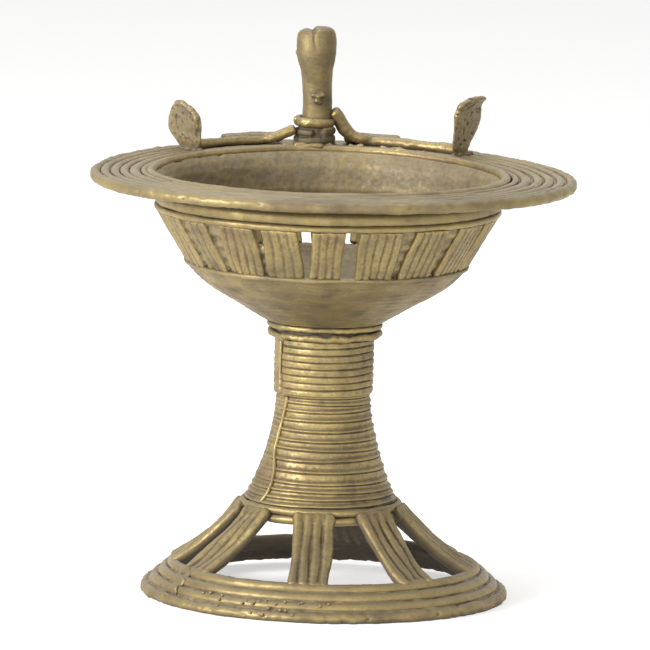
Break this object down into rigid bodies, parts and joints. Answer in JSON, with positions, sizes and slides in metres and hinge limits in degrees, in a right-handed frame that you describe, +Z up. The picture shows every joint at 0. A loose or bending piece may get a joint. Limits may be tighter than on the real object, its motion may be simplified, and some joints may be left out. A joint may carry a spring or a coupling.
{
  "type": "oil lamp",
  "caption": "Footed brass oil lamp built of cast threads: hollow banded stem, open strut foot, slatted bowl, broad ringed rim, a wick post and raised snake hoods.",
  "frame": {"origin": "centre of the ground plane under the foot, on the axis that the foot and the rim share", "axes": "+Z up the stem, the wick post stands at the back of the rim at +Y, the open front of the rim is -Y"},
  "size_m": [0.1218, 0.1218, 0.1379],
  "materials": {
    "aged_brass": "dull hand-cast brass, dark in its joints",
    "rubbed_brass": "hand-cast brass rubbed bright on its high parts",
    "sooted_brass": "rough cast brass, darkened by oil and soot"
  },
  "bodies": {
    "root": {"base_ring_lower": "aged_brass", "base_ring_upper": "aged_brass", "collar_ring_lower": "aged_brass", "collar_ring_upper": "aged_brass", "edge_roll": "rubbed_brass", "foot_band": "sooted_brass", "foot_thread_1": "aged_brass", "foot_thread_2": "aged_brass", "foot_thread_3": "aged_brass", "foot_thread_4": "aged_brass", "hood_left": "aged_brass", "hood_right": "aged_brass", "lip_thread": "aged_brass", "neck_thread_lower": "aged_brass", "neck_thread_upper": "aged_brass", "oil_bowl": "sooted_brass", "post_wraps": "sooted_brass", "rim_flange": "sooted_brass", "rim_thread_1": "aged_brass", "rim_thread_2": "aged_brass", "rim_thread_3": "aged_brass", "rim_thread_4": "aged_brass", "rim_thread_5": "aged_brass", "slat_01": "aged_brass", "slat_02": "aged_brass", "slat_03": "aged_brass", "slat_04": "aged_brass", "slat_05": "aged_brass", "slat_06": "aged_brass", "slat_07": "aged_brass", "slat_08": "aged_brass", "slat_09": "aged_brass", "slat_10": "aged_brass", "slat_11": "aged_brass", "slat_12": "aged_brass", "slat_13": "aged_brass", "slat_14": "aged_brass", "slat_15": "aged_brass", "slat_16": "aged_brass", "slat_17": "aged_brass", "slat_18": "aged_brass", "slat_19": "aged_brass", "slat_20": "aged_brass", "slat_21": "aged_brass", "snake_left": "aged_brass", "snake_right": "aged_brass", "stem_core": "aged_brass", "stem_flat_hoops": "rubbed_brass", "stem_round_hoops": "rubbed_brass", "stem_seam_lower": "aged_brass", "stem_seam_upper": "aged_brass", "strut_1": "aged_brass", "strut_2": "aged_brass", "strut_3": "aged_brass", "strut_4": "aged_brass", "strut_5": "aged_brass", "strut_6": "aged_brass", "strut_7": "aged_brass", "strut_8": "aged_brass", "wick_post": "aged_brass"}
  },
  "joints": []
}
